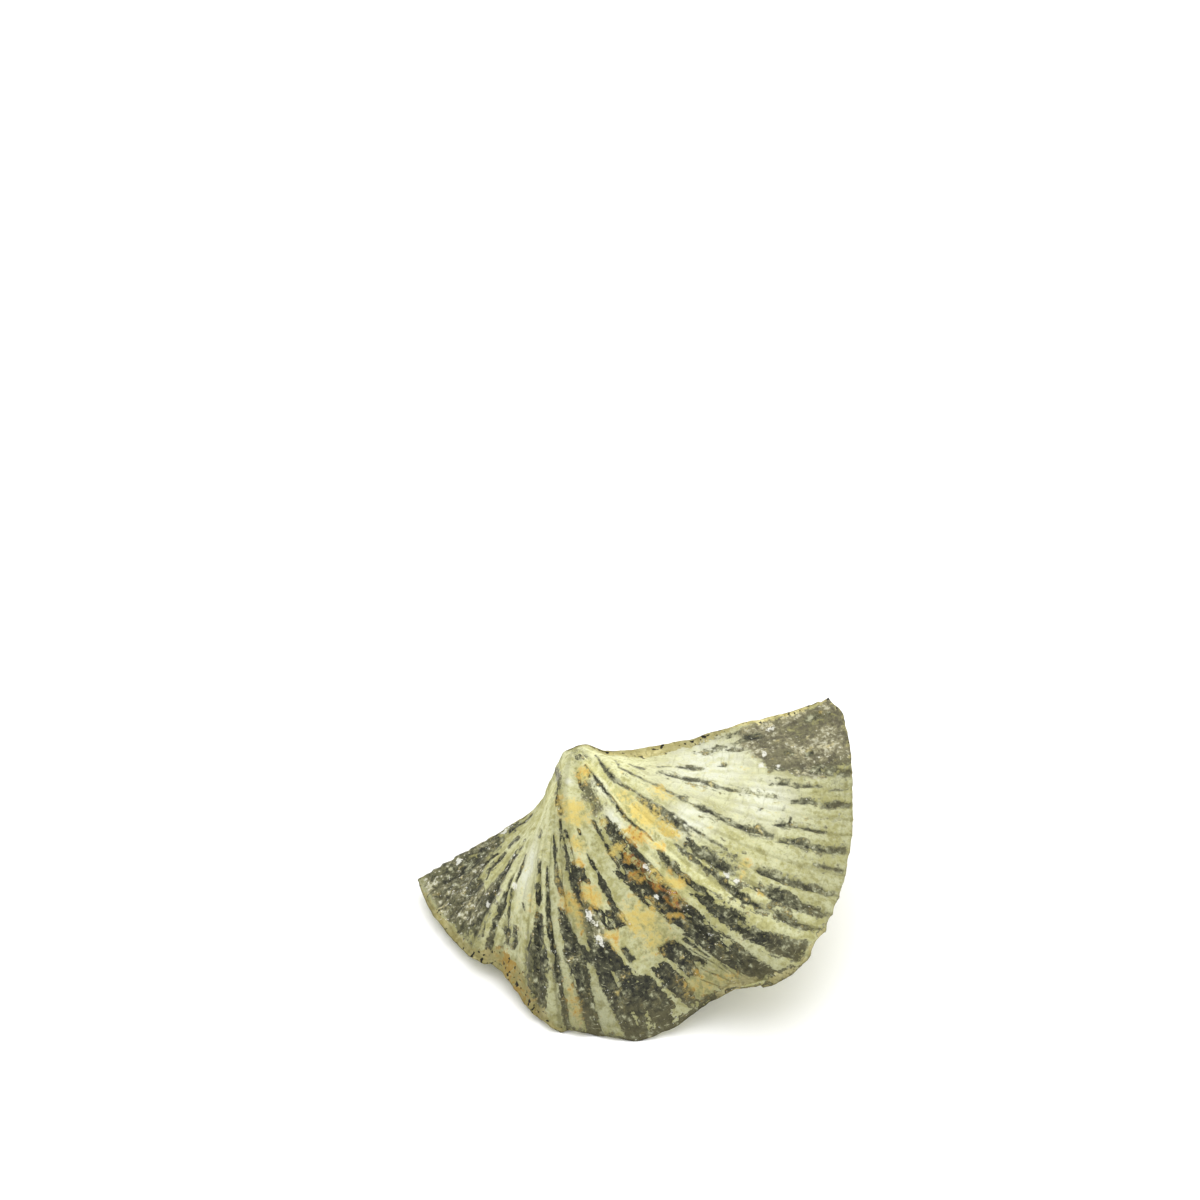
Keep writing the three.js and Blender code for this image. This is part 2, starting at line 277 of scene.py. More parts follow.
# ---------------------------------------------------------------- markings, in rib and age
# Each dark streak: stations of (rib, age, half width in mm), where the old shell still fills a groove; the
# two wide bands at the tongue's margin are painted shade.
DARK = (
    ((0.536, 0.84, 0.12), (0.543, 0.9, 0.12), (0.548, 0.96, 0.1)),
    ((0.018, 0.34, 0.15), (0.02, 0.48, 0.3)),
    ((0.072, 0.45, 0.3), (0.07, 0.52, 0.35)),
    ((0.08, 0.55, 0.25), (0.085, 0.66, 0.35), (0.093, 0.7, 0.4)),
    ((0.054, 0.58, 0.3), (0.058, 0.66, 0.3)),
    (
        (0.138, 0.45, 0.35), (0.139, 0.52, 0.5), (0.131, 0.58, 0.45), (0.131, 0.66, 0.7), (0.139, 0.75, 0.55),
        (0.143, 0.81, 0.2),
    ),
    (
        (0.168, 0.63, 0.15), (0.167, 0.7, 0.25), (0.17, 0.76, 0.6), (0.165, 0.83, 0.4), (0.168, 0.9, 0.5),
        (0.168, 0.96, 0.4),
    ),
    ((0.178, 0.54, 0.15), (0.184, 0.66, 0.22)),
    ((0.179, 0.7, 0.15), (0.184, 0.78, 0.3), (0.19, 0.83, 0.15)),
    ((0.19, 0.84, 0.5), (0.196, 0.89, 0.5)),
    ((0.208, 0.825, 0.4), (0.212, 0.85, 0.5), (0.212, 0.88, 0.3)),
    ((0.15, 0.86, 0.15), (0.153, 0.9, 0.2)),
    ((0.222, 0.715, 0.3), (0.226, 0.73, 0.3)),
    ((0.252, 0.8, 0.3), (0.25, 0.84, 0.2)),
    ((0.232, 0.415, 0.4), (0.232, 0.445, 0.4)),
    ((0.262, 0.52, 0.3), (0.264, 0.58, 0.5), (0.269, 0.64, 0.75), (0.272, 0.66, 0.3)),
    ((0.276, 0.69, 0.5), (0.277, 0.75, 0.9), (0.283, 0.8, 1.1), (0.276, 0.86, 1.0), (0.277, 1.02, 0.8)),
    (
        (0.294, 0.52, 0.2), (0.299, 0.6, 0.25), (0.301, 0.68, 0.3), (0.304, 0.75, 0.45), (0.309, 0.8, 0.55),
        (0.312, 0.88, 0.4), (0.312, 1.02, 0.4),
    ),
    ((0.313, 0.4, 0.15), (0.322, 0.44, 0.35), (0.327, 0.5, 0.25), (0.332, 0.56, 0.4), (0.34, 0.6, 0.3)),
    ((0.334, 0.65, 0.35), (0.34, 0.72, 0.8), (0.346, 0.8, 1.1), (0.345, 0.88, 0.8), (0.344, 1.02, 0.6)),
    ((0.275, 0.22, 0.15), (0.3, 0.26, 0.35), (0.33, 0.295, 0.5), (0.345, 0.32, 0.35)),
    ((0.345, 0.34, 0.2), (0.35, 0.375, 0.25)),
    ((0.375, 0.38, 0.35), (0.385, 0.405, 0.4)),
    (
        (0.365, 0.41, 0.2), (0.372, 0.46, 0.25), (0.383, 0.51, 0.9), (0.386, 0.56, 0.9), (0.383, 0.62, 0.4),
    ),
    ((0.455, 0.365, 0.3), (0.46, 0.385, 0.3)),
    ((0.404, 0.505, 1.2), (0.404, 0.545, 1.3)),
    ((0.43, 0.628, 0.8), (0.447, 0.65, 1.3), (0.449, 0.69, 1.1)),
    (
        (0.465, 0.45, 0.2), (0.475, 0.5, 0.4), (0.477, 0.56, 0.5), (0.474, 0.61, 0.4), (0.474, 0.69, 0.45),
    ),
    ((0.392, 0.605, 0.5), (0.41, 0.625, 0.8)),
    ((0.357, 0.755, 0.8), (0.362, 0.8, 1.1)),
    ((0.445, 0.745, 0.35), (0.446, 0.79, 0.35)),
    ((0.4, 0.73, 1.4), (0.405, 0.8, 1.9), (0.407, 0.87, 2.1), (0.414, 0.94, 2.5), (0.418, 1.02, 2.8)),
    ((0.445, 0.84, 0.7), (0.447, 0.9, 0.9), (0.447, 1.02, 0.8)),
    ((0.479, 0.83, 1.0), (0.478, 0.9, 1.1), (0.477, 0.97, 0.6)),
    ((0.51, 0.79, 0.9), (0.512, 0.84, 1.2), (0.506, 0.91, 0.7)),
    ((0.528, 0.8, 0.35), (0.529, 0.86, 0.3), (0.533, 0.9, 0.4)),
    ((0.546, 0.81, 0.3), (0.546, 0.88, 0.2)),
    (
        (0.562, 0.34, 0.2), (0.562, 0.42, 0.25), (0.56, 0.48, 0.4), (0.553, 0.56, 0.45), (0.547, 0.65, 0.35),
        (0.547, 0.69, 0.3),
    ),
    (
        (0.605, 0.35, 0.2), (0.598, 0.41, 0.5), (0.594, 0.48, 0.75), (0.586, 0.55, 1.2), (0.579, 0.65, 1.4),
        (0.577, 0.75, 1.6), (0.575, 0.85, 1.5), (0.574, 0.93, 1.5), (0.58, 0.97, 1.0),
    ),
    ((0.612, 0.5, 0.15), (0.611, 0.56, 0.22), (0.608, 0.62, 0.2)),
    ((0.553, 0.13, 0.18), (0.553, 0.18, 0.26), (0.56, 0.215, 0.12)),
    ((0.62, 0.145, 0.12), (0.622, 0.175, 0.18)),
    ((0.55, 0.53, 0.7), (0.553, 0.57, 0.6)),
    (
        (0.633, 0.12, 0.12), (0.646, 0.2, 0.2), (0.648, 0.3, 0.18), (0.645, 0.36, 0.24), (0.648, 0.42, 0.2),
        (0.655, 0.45, 0.25), (0.655, 0.49, 0.15),
    ),
    (
        (0.645, 0.53, 0.2), (0.641, 0.58, 0.45), (0.636, 0.64, 0.35), (0.634, 0.7, 0.7), (0.629, 0.78, 0.85),
        (0.626, 0.86, 0.9), (0.625, 0.92, 1.1), (0.631, 0.98, 1.0),
    ),
    (
        (0.68, 0.53, 0.2), (0.676, 0.6, 0.3), (0.674, 0.66, 0.25), (0.668, 0.72, 0.35), (0.664, 0.78, 0.35),
        (0.662, 0.84, 0.2),
    ),
    ((0.662, 0.87, 0.35), (0.66, 0.93, 0.5), (0.661, 0.98, 0.35)),
    ((0.712, 0.34, 0.15), (0.714, 0.4, 0.5), (0.716, 0.47, 0.55), (0.714, 0.53, 0.25)),
    (
        (0.719, 0.28, 0.12), (0.726, 0.38, 0.18), (0.728, 0.47, 0.2), (0.722, 0.56, 0.16), (0.718, 0.66, 0.2),
    ),
    ((0.699, 0.54, 0.45), (0.693, 0.61, 0.55), (0.69, 0.67, 0.5), (0.691, 0.71, 0.5)),
    (
        (0.688, 0.75, 0.65), (0.686, 0.8, 0.55), (0.685, 0.86, 0.85), (0.685, 0.93, 0.9), (0.686, 0.98, 0.75),
    ),
    (
        (0.71, 0.76, 0.3), (0.708, 0.82, 0.35), (0.71, 0.88, 0.5), (0.712, 0.93, 0.45), (0.711, 0.97, 0.3),
    ),
    (
        (0.79, 0.1, 0.12), (0.75, 0.135, 0.18), (0.722, 0.175, 0.22), (0.711, 0.22, 0.32), (0.712, 0.26, 0.2),
        (0.717, 0.3, 0.12),
    ),
    (
        (0.82, 0.17, 0.08), (0.775, 0.21, 0.15), (0.774, 0.3, 0.17), (0.775, 0.37, 0.2), (0.779, 0.43, 0.14),
        (0.777, 0.47, 0.4),
    ),
    (
        (0.773, 0.5, 0.15), (0.773, 0.55, 0.45), (0.772, 0.62, 0.3), (0.768, 0.67, 0.45), (0.77, 0.72, 0.5),
        (0.77, 0.76, 0.3),
    ),
    ((0.768, 0.78, 0.3), (0.77, 0.84, 0.5), (0.77, 0.91, 0.5), (0.772, 0.98, 0.35)),
    ((0.793, 0.755, 0.4), (0.793, 0.785, 0.35)),
    ((0.795, 0.8, 0.15), (0.795, 0.92, 0.25)),
    ((0.823, 0.22, 0.1), (0.819, 0.28, 0.18)),
    (
        (0.83, 0.34, 0.15), (0.838, 0.4, 0.32), (0.845, 0.45, 0.3), (0.841, 0.52, 0.25), (0.838, 0.61, 0.12),
    ),
    ((0.836, 0.79, 0.3), (0.839, 0.84, 0.4), (0.84, 0.87, 0.2)),
    ((0.833, 0.89, 0.4), (0.839, 0.94, 0.45), (0.837, 0.99, 0.4)),
    ((0.867, 0.7, 0.45), (0.867, 0.77, 0.4)),
    ((0.865, 0.8, 0.3), (0.866, 0.88, 0.4)),
    ((0.862, 0.91, 0.4), (0.862, 0.985, 0.4)),
    ((0.858, 0.28, 0.08), (0.87, 0.31, 0.14), (0.882, 0.345, 0.06)),
    ((0.884, 0.37, 0.15), (0.892, 0.42, 0.3), (0.889, 0.47, 0.1)),
    ((0.9, 0.51, 0.2), (0.9, 0.54, 0.25)),
    ((0.895, 0.72, 0.2), (0.893, 0.8, 0.15)),
    ((0.895, 0.85, 0.7), (0.893, 0.9, 0.6), (0.889, 0.94, 0.4)),
    ((0.886, 0.945, 0.5), (0.885, 0.995, 0.5)),
    ((0.965, 0.61, 0.4), (0.965, 0.67, 0.5), (0.963, 0.7, 0.3)),
    ((0.978, 0.86, 0.3), (0.977, 0.92, 0.5), (0.976, 0.96, 0.3)),
    ((0.93, 0.76, 0.7), (0.932, 0.79, 0.6)),
    ((0.921, 0.835, 0.25), (0.921, 0.86, 0.3)),
    ((0.81, 0.692, 0.3), (0.812, 0.698, 0.3)),
    ((0.803, 0.795, 0.5), (0.805, 0.8, 0.5)),
    ((0.82, 0.768, 0.25), (0.823, 0.772, 0.25)),
    ((0.0, 0.5, 0.3), (0.005, 0.6, 0.6), (0.03, 0.66, 0.8), (0.035, 0.74, 0.9), (0.03, 0.86, 0.5)),
    ((0.065, 0.72, 0.4), (0.068, 0.76, 0.45), (0.07, 0.8, 0.2)),
    ((0.045, 0.82, 0.2), (0.046, 0.93, 0.3)),
    ((0.092, 0.72, 0.3), (0.09, 0.8, 0.35), (0.088, 0.92, 0.2)),
    ((0.745, 0.9, 0.2), (0.745, 0.99, 0.25)),
    # These two: a dark band along the front margin of the tongue, painted shade where the edge turns under
    # towards the floor.
    ((0.41, 0.99, 7.0), (0.41, 1.02, 7.0)),
    ((0.545, 0.978, 5.0), (0.545, 1.02, 5.0)),
    ((0.552, 0.88, 0.12), (0.55, 0.99, 0.16)),
    ((0.523, 0.9, 0.1), (0.533, 0.95, 0.15), (0.54, 0.99, 0.15)),
    ((0.559, 0.9, 0.12), (0.555, 0.99, 0.16)),
    ((0.51, 0.93, 0.12), (0.52, 0.97, 0.14)),
)

# Clouded bands, where half of the dark shell is worn through.
HAZE = (
    ((0.64, 0.015, 0.3), (0.65, 0.06, 0.45), (0.66, 0.1, 0.3)),
    ((0.715, 0.33, 0.5), (0.714, 0.45, 1.0), (0.71, 0.6, 1.0), (0.705, 0.75, 0.8), (0.705, 1.0, 0.9)),
    ((0.685, 0.56, 0.4), (0.682, 0.7, 0.8), (0.685, 0.85, 1.1), (0.687, 1.0, 1.2)),
    ((0.662, 0.74, 0.4), (0.662, 1.0, 0.6)),
    ((0.774, 0.25, 0.3), (0.772, 0.5, 0.6), (0.77, 1.0, 0.7)),
    ((0.795, 0.74, 0.4), (0.795, 0.98, 0.5)),
    ((0.835, 0.33, 0.4), (0.84, 0.62, 0.4), (0.838, 0.8, 0.4), (0.838, 1.0, 0.5)),
    ((0.866, 0.66, 0.5), (0.866, 1.0, 0.5)),
    ((0.89, 0.84, 0.6), (0.89, 1.02, 0.7)),
    ((0.742, 0.8, 0.4), (0.745, 1.02, 0.5)),
    ((0.818, 0.84, 0.3), (0.818, 1.0, 0.4)),
    ((0.262, 0.77, 0.6), (0.262, 0.85, 1.2), (0.262, 0.97, 1.2)),
    ((0.177, 0.7, 0.5), (0.18, 0.8, 1.1), (0.183, 0.88, 1.3), (0.18, 0.94, 0.8)),
    ((0.137, 0.6, 0.5), (0.135, 0.75, 0.9), (0.14, 0.98, 1.0)),
    ((0.085, 0.55, 0.4), (0.085, 0.95, 0.7)),
    ((0.055, 0.55, 0.4), (0.055, 0.9, 0.6)),
    ((0.02, 0.42, 0.4), (0.025, 0.9, 0.7)),
    ((0.208, 0.81, 0.4), (0.208, 0.9, 0.6)),
    ((0.962, 0.41, 0.5), (0.962, 0.5, 0.9), (0.962, 0.6, 1.1)),
    ((0.93, 0.41, 0.3), (0.932, 0.44, 0.3)),
    ((0.365, 0.385, 0.5), (0.37, 0.44, 0.9), (0.38, 0.5, 0.8)),
    ((0.592, 0.34, 0.4), (0.59, 0.46, 0.8)),
)

# Brown-grey shell that is worn but not black; the first band and the last-but-one, round the left side of the
# umbo near the beak, are partly worn shell and partly painted shade.
BROWN = (
    # partly worn shell and partly painted shade, round the left of the umbo behind the beak
    ((0.0, 0.13, 0.6), (0.1, 0.14, 0.9), (0.2, 0.16, 0.9), (0.27, 0.19, 0.7), (0.31, 0.23, 0.5)),
    ((0.02, 0.5, 0.8), (0.02, 0.64, 1.4), (0.03, 0.7, 2.3), (0.06, 0.78, 4.4), (0.065, 0.95, 5.0)),
    ((0.262, 0.79, 0.7), (0.261, 0.86, 1.0), (0.261, 0.97, 0.9)),
    ((0.132, 0.6, 0.5), (0.129, 0.72, 0.8), (0.12, 0.82, 1.6), (0.118, 0.92, 2.0)),
    ((0.392, 0.585, 0.6), (0.394, 0.65, 1.3), (0.396, 0.73, 1.2)),
    ((0.585, 0.18, 0.35), (0.588, 0.25, 0.5), (0.594, 0.32, 0.45)),
    # partly worn shell and partly painted shade, on the left flank of the umbo
    ((0.27, 0.215, 0.3), (0.3, 0.245, 0.5), (0.33, 0.275, 0.5), (0.36, 0.31, 0.3)),
    ((0.967, 0.6, 0.8), (0.96, 0.64, 1.2), (0.945, 0.7, 3.0), (0.94, 0.84, 3.6), (0.945, 1.05, 4.2)),
)

# Yellow iron stains: (rib, age, half width mm, half length mm, strength, orange).
STAINS = (
    (0.585, 0.15, 0.75, 0.9, 1.1, 0.4),
    (0.43, 0.285, 2.8, 0.8, 1.0, 0.05),
    (0.44, 0.33, 2.2, 0.8, 1.0, 0.15),
    (0.59, 0.36, 0.4, 0.45, 0.75, 0.3),
    (0.43, 0.42, 1.3, 0.6, 1.0, 0.3),
    (0.415, 0.485, 0.8, 0.3, 0.9, 0.5),
    (0.425, 0.59, 1.3, 0.9, 1.1, 0.5),
    (0.355, 0.62, 0.9, 1.0, 1.1, 0.55),
    (0.435, 0.705, 1.1, 0.4, 0.9, 0.5),
    (0.515, 0.70, 2.0, 1.6, 0.9, 0.15),
    (0.507, 0.77, 1.7, 1.0, 0.85, 0.25),
    (0.69, 0.31, 0.6, 1.0, 0.85, 0.1),
    (0.685, 0.40, 0.9, 1.6, 1.1, 0.1),
    (0.697, 0.48, 0.5, 1.2, 1.1, 0.3),
    (0.655, 0.51, 0.5, 0.5, 0.9, 0.3),
    (0.635, 0.46, 0.7, 0.9, 1.1, 0.65),
    (0.625, 0.43, 0.5, 0.4, 0.7, 0.3),
    (0.615, 0.645, 1.0, 0.7, 1.1, 0.35),
    (0.575, 0.465, 0.8, 0.5, 1.1, 0.15),
    (0.587, 0.51, 0.4, 0.8, 1.05, 0.75),
    (0.576, 0.578, 0.55, 0.7, 1.05, 0.7),
    (0.595, 0.545, 0.4, 0.8, 0.9, 0.95),
    (0.59, 0.635, 0.45, 0.8, 0.9, 0.9),
    (0.602, 0.685, 0.5, 0.9, 0.9, 0.7),
    (0.585, 0.7, 0.4, 0.9, 0.7, 0.9),
    (0.57, 0.735, 0.7, 0.35, 0.9, 0.6),
    (0.608, 0.59, 0.4, 0.5, 0.8, 0.2),
    (0.37, 0.65, 0.7, 1.6, 0.95, 0.4),
    (0.43, 0.74, 0.5, 0.6, 0.8, 0.4),
    (0.325, 0.25, 0.6, 0.5, 0.85, 0.55),
    (0.5, 0.31, 1.5, 0.7, 0.8, 0.05),
    (0.6, 0.62, 0.4, 0.9, 0.9, 0.4),
    (0.56, 0.65, 0.4, 0.7, 0.6, 0.4),
    (0.41, 0.635, 0.5, 0.4, 0.7, 0.6),
    (0.63, 0.6, 0.3, 0.4, 0.8, 0.6),
    (0.185, 0.97, 1.2, 0.5, 0.9, 0.6),
    (0.225, 0.96, 1.4, 0.6, 0.9, 0.5),
    (0.76, 0.39, 0.6, 1.0, 0.85, 0.2),
    (0.71, 0.725, 0.5, 0.35, 0.9, 0.4),
    (0.694, 0.74, 0.5, 0.3, 0.8, 0.5),
    (0.677, 0.815, 0.3, 0.3, 0.8, 0.4),
    (0.328, 0.92, 0.7, 1.4, 0.75, 0.5),
    (0.21, 0.95, 2.6, 0.8, 0.8, 0.55),
    (0.25, 0.68, 1.0, 0.8, 0.5, 0.4),
    (0.34, 0.53, 0.5, 0.6, 0.6, 0.2),
    (0.505, 0.94, 2.0, 1.0, 0.8, 0.4),
    (0.54, 0.955, 1.6, 0.6, 0.8, 0.4),
    (0.56, 0.46, 0.4, 0.5, 0.5, 0.5),
)

# Bright crystalline streaks, partly the crystal's own white and partly painted highlight: (rib, age, half
# width mm, half length mm).
CRYSTAL_GLINTS = (
    (0.4, 0.655, 0.55, 0.75),
    (0.404, 0.725, 0.65, 0.6),
    (0.412, 0.68, 0.4, 0.3),
    (0.602, 0.575, 0.3, 0.5),
    (0.574, 0.66, 0.22, 0.3),
    (0.585, 0.82, 0.4, 0.2),
    (0.683, 0.70, 0.35, 0.6),
    (0.68, 0.735, 0.35, 0.3),
    (0.9, 0.67, 0.5, 0.5),
    (0.925, 0.68, 0.4, 0.4),
    (0.9, 0.73, 0.35, 0.35),
    (0.976, 0.72, 0.4, 0.8),
    (0.332, 0.297, 0.22, 0.15),
    (0.133, 0.775, 0.35, 0.4),
    (0.008, 0.5, 0.3, 0.9),
    (0.012, 0.77, 0.4, 0.6),
    (0.185, 0.68, 0.5, 0.6),
)

# Chalky pale patches: (rib, age, half width mm, half length mm).
PALE = (
    (0.212, 0.58, 1.5, 3.4),
    (0.9, 0.48, 4.0, 4.5),
    (0.74, 0.52, 1.8, 2.0),
    (0.64, 0.24, 0.5, 1.3),
    (0.42, 0.18, 0.9, 0.5),
    (0.62, 0.38, 0.5, 1.6),
    (0.83, 0.7, 3.0, 3.0),
)

# Length in mm of shell from beak to margin, as the streaks and spots count it.
GROWTH_SPAN = 26.0

# How far out the stains, crystals and pale patches reach, and how fast a stain fades.
STAIN_REACH = 1.3
STAIN_FADE = 0.75
CRYSTAL_REACH = 1.3
PALE_REACH = 1.4

# How cloudy the dark shell is, how deep a clouded band counts, and how pale the stone is:
# round the shell, and from beak to margin. The paleness is partly the stone's own and partly painted light
# and shade: paler on the umbo and the right flank, darker towards the front margin and on the left side.
SMOKE_AT = (0, 0.14, 0.24, 0.3, 0.36, 0.45, 0.52, 0.58, 0.66, 0.7, 1)
SMOKE = (0.6, 0.5, 0.55, 0.35, 0.3, 0.05, 0.1, 0.2, 0.55, 0.8, 0.9)
HAZE_AT = (0, 0.12, 0.22, 0.3, 0.45, 0.6, 0.7, 0.75, 1)
HAZE_DEPTH = (0.0, -0.05, -0.1, -0.05, -0.05, -0.05, -0.02, -0.15, 0.1)
TONE_RIB = (0, 0.06, 0.14, 0.2, 0.26, 0.32, 0.38, 0.42, 0.5, 0.57, 0.63, 0.66, 0.7, 0.78, 0.86, 0.94, 1)
RIB_TONE_AND_SHADE = (
    0.75, 0.95, 1.0, 1.02, 0.94, 0.74, 0.7, 0.86, 0.82, 0.82, 1.02, 1.18, 1.0, 1.0, 1.03, 0.96, 0.8,
)
TONE_AGE = (0, 0.2, 0.36, 0.6, 0.7, 0.8, 0.9, 1)
AGE_TONE_AND_SHADE = (1.25, 1.25, 1.07, 1.0, 0.97, 0.88, 0.78, 0.71)
EAR_RIM_GAIN = 0.65
EAR_RIM_RIB = (0.98, 1)
EAR_RIM_AGE = (0.5, 0.75)
PITCH_STEP = 0.004
FULL_RIB = 0.5
FURROW_AGE = (0.3, 0.75)

# Bare rock: its width in mm along the hinge by age, and along the front margin by rib.
HINGE_RIM_AGE = (0, 0.08, 0.16, 0.3, 0.5, 1)
HINGE_RIM = (0.1, 0.3, 0.9, 1.2, 0.55, 0.4)
FRONT_RIM_AT = (0, 0.08, 0.14, 0.22, 0.28, 0.34, 0.48, 0.54, 0.6, 0.66, 1)
FRONT_RIM = (0.1, 1.0, 1.1, 2.2, 1.0, -0.1, -0.2, 1.0, 0.4, 0.05, 0.15)
RUST_FROM_LEFT = (0.15, 0.2)
RUST_FROM_RIGHT = (0.71, 0.75)
FEWEST_PITS = 0.35
FEWEST_PITS_AT = 0.56
PITS_GROW = (0.1, 0.25)

# The underside and the back. Each wave of dark: height in mm, and radians by rib and by age.
HIDDEN_TONE = 0.85
HIDDEN_PITS = 0.22
ALL_ROCK = 1.0
HIDDEN_WAVES = ((0.45, 9, 5), (0.3, 23, -11))
# The wave of rock: height in mm, radians by rib, and the radians that it starts at.
UNDERSIDE_WAVE = (0.3, 14, 3)
UNDERSIDE_ROCK = 0.6
UNDERSIDE_SHELL = 2.2
UNDERSIDE_SHELL_AGE = (0.5, 1.0)

# Edges of the streaks, mm.
NO_STREAK = -3.0
THIN_STREAK = 0.6
THIN_TRIM = 0.04
BLUNT_END = 0.15
FRAY_START = 0.04
FRAY_PER_MM = 0.8
FRAY_LEAST = 0.1
FRAY_MOST = 0.5
FRAY_OF_BARE_STONE = 0.3

# The age that a spot's width is counted at when it is nearer the beak.
SPOT_YOUNGEST = 0.1


def streak_depth(streaks, rib, age):
    """Distance inside the nearest streak in mm, negative outside, and how far its edge frays."""
    depth = np.full(len(rib), NO_STREAK)
    fray = np.full(len(rib), FRAY_OF_BARE_STONE)
    for streak in streaks:
        ribs, ages, halves = zip(*streak)
        centre = np.interp(age, ages, ribs)
        half = np.interp(age, ages, halves)
        half = half - THIN_TRIM * np.clip(1 - half / THIN_STREAK, 0, 1)
        across = half - np.abs(rib - centre) * MARGIN_LENGTH * age
        ends = np.minimum(age - ages[0], ages[-1] - age) * GROWTH_SPAN
        inside = np.minimum(across, ends + BLUNT_END)
        inside = np.where(ends > -BLUNT_END, inside, np.minimum(inside, ends))
        own_fray = np.clip(FRAY_START + FRAY_PER_MM * half, FRAY_LEAST, FRAY_MOST)
        fray = np.where(inside > depth, own_fray, fray)
        depth = np.maximum(depth, inside)
    return depth, fray


def spot_distance(rib, age, spot_rib, spot_age, half_width, half_length):
    """How far out from the middle of an oval spot: 0 in its middle and 1 on its edge."""
    across = (rib - spot_rib) * MARGIN_LENGTH * np.maximum(age, SPOT_YOUNGEST) / half_width
    along = (age - spot_age) * GROWTH_SPAN / half_length
    return np.sqrt(across * across + along * along)


def spots_cover(spots, reach, rib, age):
    """How strongly the nearest spot covers each place, 0 to 1; reach sets how far it fades out."""
    cover = np.zeros(len(rib))
    for spot in spots:
        cover = np.maximum(cover, np.clip(reach - spot_distance(rib, age, *spot), 0, 1))
    return cover


def stains_cover(rib, age):
    """How strongly iron has stained each place, and how orange its stain is."""
    cover = np.zeros(len(rib))
    orange = np.zeros(len(rib))
    for *spot, strength, redness in STAINS:
        reach = np.clip(STAIN_REACH - STAIN_FADE * spot_distance(rib, age, *spot), 0, 1) * strength
        orange = np.where(reach > cover, redness, orange)
        cover = np.maximum(cover, reach)
    return cover, orange


# ---------------------------------------------------------------- the shell mesh
def places_on_shell(sphere):
    """Rib and age of each point of the sphere, and whether it is on the front and on the upper valve."""
    turn = np.arctan2(sphere[:, 1], sphere[:, 0]) + pi
    column = np.round(turn / (2 * pi) * COLUMNS) % COLUMNS / COLUMNS
    row = np.round(np.arccos(np.clip(sphere[:, 2], -1, 1)) / pi * ROWS) / ROWS
    at_a_beak = (row == 0) | (row == 1)
    column[at_a_beak] = 0.5 * FRONT_SHARE
    front = column <= FRONT_SHARE
    equator = round(UPPER_SHARE * ROWS) / ROWS
    upper = row <= equator + ROUNDING
    share = np.where(upper, row / equator, (1 - row) / (1 - equator))
    age = np.clip(share, 0, 1) ** np.where(upper, UPPER_ROW_POWER, LOWER_ROW_POWER)
    rib = np.where(front, column / FRONT_SHARE, (1 - column) / (1 - FRONT_SHARE))
    return rib, age, front, upper


def growth_relief(rib, age):
    """Height in mm of the steps where the shell paused in its growth, fading out at the margin."""
    relief = np.zeros(len(rib))
    for step_age, step_height in GROWTH_STEPS:
        wander = GROWTH_WANDER * np.sin(WANDER_ROUND_RIBS * rib + WANDER_BY_STEP * step_age)
        rise = smoothstep(age, step_age - GROWTH_WIDTH + wander, step_age + wander)
        fall = smoothstep(age, step_age + wander, step_age + GROWTH_TAIL + wander)
        relief += step_height * (rise - fall)
    return relief * smoothstep(1 - age, 0, MARGIN_EASE)


def lay_down(points):
    """Shell frame to the lie of the stone, in mm, with the part that rests on the ground worn flat."""
    lie = np.array(Matrix.Rotation(-ROLL, 3, "Y") @ Matrix.Rotation(PITCH, 3, "X"))
    placed = points @ lie.T + np.array(HINGE_PLACE)
    placed[:, 2] = np.maximum(placed[:, 2], 0)
    return placed


def wear_surface(mesh_maker, dark):
    """Uneven wear all over, and the dark shell sunk a little below the stone beside it."""
    for vert, depth in zip(mesh_maker.verts, dark):
        where = vert.co / MM
        lift = sum(high * noise.noise(where * waves + Vector((*WEAR_PLACE, waves))) for high, waves in WEAR)
        lift -= DARK_SINK * max(0.0, min(1.0, depth / DARK_SINK_EDGE + 0.5))
        moved = vert.co + vert.normal * lift * MM
        moved.z = max(moved.z, 0.0)
        vert.co = moved


mesh_maker = bmesh.new()
bmesh.ops.create_uvsphere(mesh_maker, u_segments=COLUMNS, v_segments=ROWS, radius=1)
mesh_maker.verts.ensure_lookup_table()
rib, age, front, upper = places_on_shell(np.array([v.co for v in mesh_maker.verts]))
shown = front & upper
below = front & ~upper

# dark streaks where they show, and slow waves of dark along the grooves of the hidden side
groove_count = len(GROOVES)
rib_phase = through(GROOVES, range(groove_count), rib)
from_groove = np.abs(rib_phase - np.round(rib_phase)) * MARGIN_LENGTH / groove_count * age
hidden_dark = sum(high * np.sin(by_rib * rib + by_age * age) for high, by_rib, by_age in HIDDEN_WAVES)
hidden_dark -= from_groove
dark, fray = streak_depth(DARK, rib, age)
haze = np.minimum(streak_depth(HAZE, rib, age)[0], through(HAZE_AT, HAZE_DEPTH, rib))
fray = np.where(haze > dark, FRAY_MOST, fray)
dark = np.maximum(dark, haze)
dark = np.where(shown, dark, np.where(front, hidden_dark, NO_STREAK))
brown = np.where(shown, streak_depth(BROWN, rib, age)[0], NO_STREAK)

points = shell_points(rib, age, front, upper)
growth = growth_relief(rib, age)
points[:, 2] += np.where(front, np.where(upper, -growth, growth), 0)
for vert, place in zip(mesh_maker.verts, lay_down(points)):
    vert.co = Vector(place) * MM
mesh_maker.normal_update()
wear_surface(mesh_maker, dark)
for face in mesh_maker.faces:
    face.smooth = True

mesh = bpy.data.meshes.new("brachiopod_shell")
mesh_maker.to_mesh(mesh)
mesh_maker.free()
shell = bpy.data.objects.new("brachiopod_shell", mesh)
bpy.context.scene.collection.objects.link(shell)

# ---------------------------------------------------------------- what the material reads off the mesh
stain, orange = stains_cover(rib, age)

